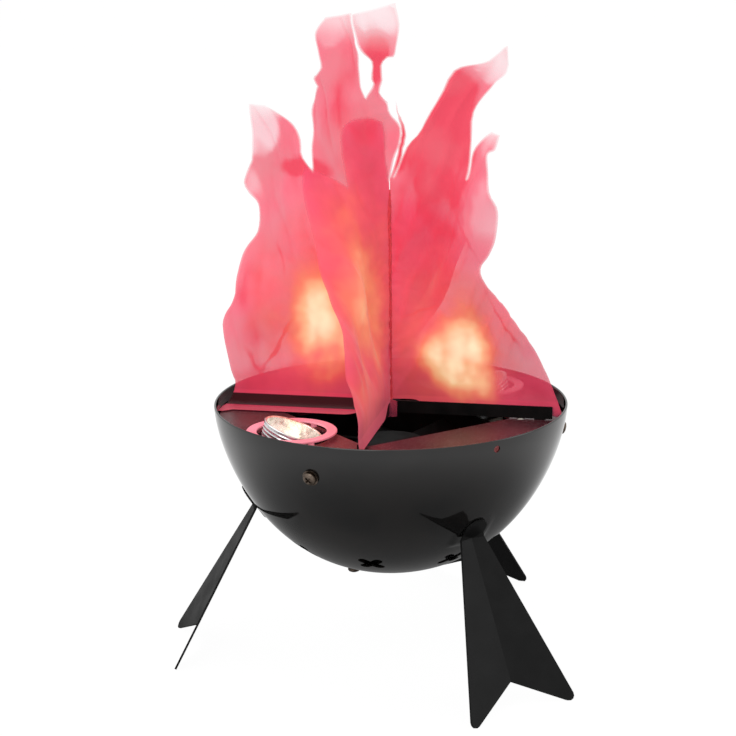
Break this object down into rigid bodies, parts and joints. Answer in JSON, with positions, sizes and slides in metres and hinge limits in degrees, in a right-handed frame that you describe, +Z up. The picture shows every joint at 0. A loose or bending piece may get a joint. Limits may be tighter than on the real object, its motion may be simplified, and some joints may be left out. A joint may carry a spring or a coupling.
{
  "type": "flame effect light",
  "caption": "Silk flame effect light: glossy black bowl on folded sheet legs, with a fan and tilted lamps under a red cloth flame.",
  "frame": {"origin": "middle of the footprint, on the floor", "axes": "+Z up, -Y towards the front leg; the bowl's axis is vertical, 12.5 mm behind the origin"},
  "size_m": [0.2514, 0.2268, 0.368],
  "materials": {
    "bowl": "gloss",
    "legs": "satin",
    "plate": "satin",
    "strips": "satin",
    "zinc": "satin",
    "steel": "satin",
    "silk": "sheer",
    "thread": "matte",
    "black_plastic": "satin",
    "reflector": "satin",
    "lamp_glass": "clear",
    "porcelain": "matte",
    "copper": "gloss",
    "brass": "satin",
    "board": "satin",
    "ferrite": "matte",
    "rubber": "matte"
  },
  "bodies": {
    "frame": {"bowl_shell": "bowl", "leg_front": "legs", "leg_left": "legs", "leg_right": "legs", "top_plate": "plate", "strip_a": "strips", "strip_b": "strips", "silk_wing_left": "silk", "silk_wing_right": "silk", "silk_wing_front": "silk", "silk_wing_back": "silk", "silk_seam": "thread", "silk_tab": "silk", "fan_frame": "black_plastic", "fan_bearing": "brass", "fan_stator": "steel", "fan_board": "board", "chassis": "zinc", "transformer_core": "steel", "transformer_coil": "copper", "transformer_strap": "zinc", "terminal_block": "black_plastic", "cable_grommet": "rubber", "leg_nut_front": "zinc", "leg_nut_left": "zinc", "leg_nut_right": "zinc", "side_screw_back": "zinc", "side_washer_back": "zinc", "side_screw_left": "zinc", "side_washer_left": "zinc", "side_screw_right": "zinc", "side_washer_right": "zinc", "fan_screw_1": "zinc", "fan_coil_1": "copper", "fan_screw_2": "zinc", "fan_coil_2": "copper", "fan_screw_3": "zinc", "fan_coil_3": "copper", "fan_screw_4": "zinc", "fan_coil_4": "copper", "terminal_screw_1": "brass", "terminal_screw_2": "brass", "chassis_screw_left": "zinc", "chassis_nut_left": "zinc", "strap_screw_left": "zinc", "lamp_ring_left": "plate", "chassis_screw_right": "zinc", "chassis_nut_right": "zinc", "strap_screw_right": "zinc", "lamp_ring_right": "plate"},
    "fan_rotor": {"fan_impeller": "black_plastic", "fan_magnet": "ferrite", "fan_shaft": "steel"},
    "lamp_left": {"lamp_can_left": "reflector", "lamp_bulb_left": "lamp_glass", "lamp_holder_left": "porcelain"},
    "lamp_right": {"lamp_can_right": "reflector", "lamp_bulb_right": "lamp_glass", "lamp_holder_right": "porcelain"}
  },
  "joints": [
    {"name": "fan_spin", "type": "hinge", "parent": "frame", "child": "fan_rotor", "pos_m": [0, 0.01251, 0.115], "axis": [0, 0, 1], "continuous": true},
    {"name": "lamp_left_tilt", "type": "hinge", "parent": "frame", "child": "lamp_left", "pos_m": [-0.07209, 0.00238, 0.1391], "axis": [-0.5592, -0.829, 0], "range_deg": [-10, 10]},
    {"name": "lamp_right_tilt", "type": "hinge", "parent": "frame", "child": "lamp_right", "pos_m": [0.07209, 0.02264, 0.1391], "axis": [0.5592, 0.829, 0], "range_deg": [-10, 10]}
  ]
}
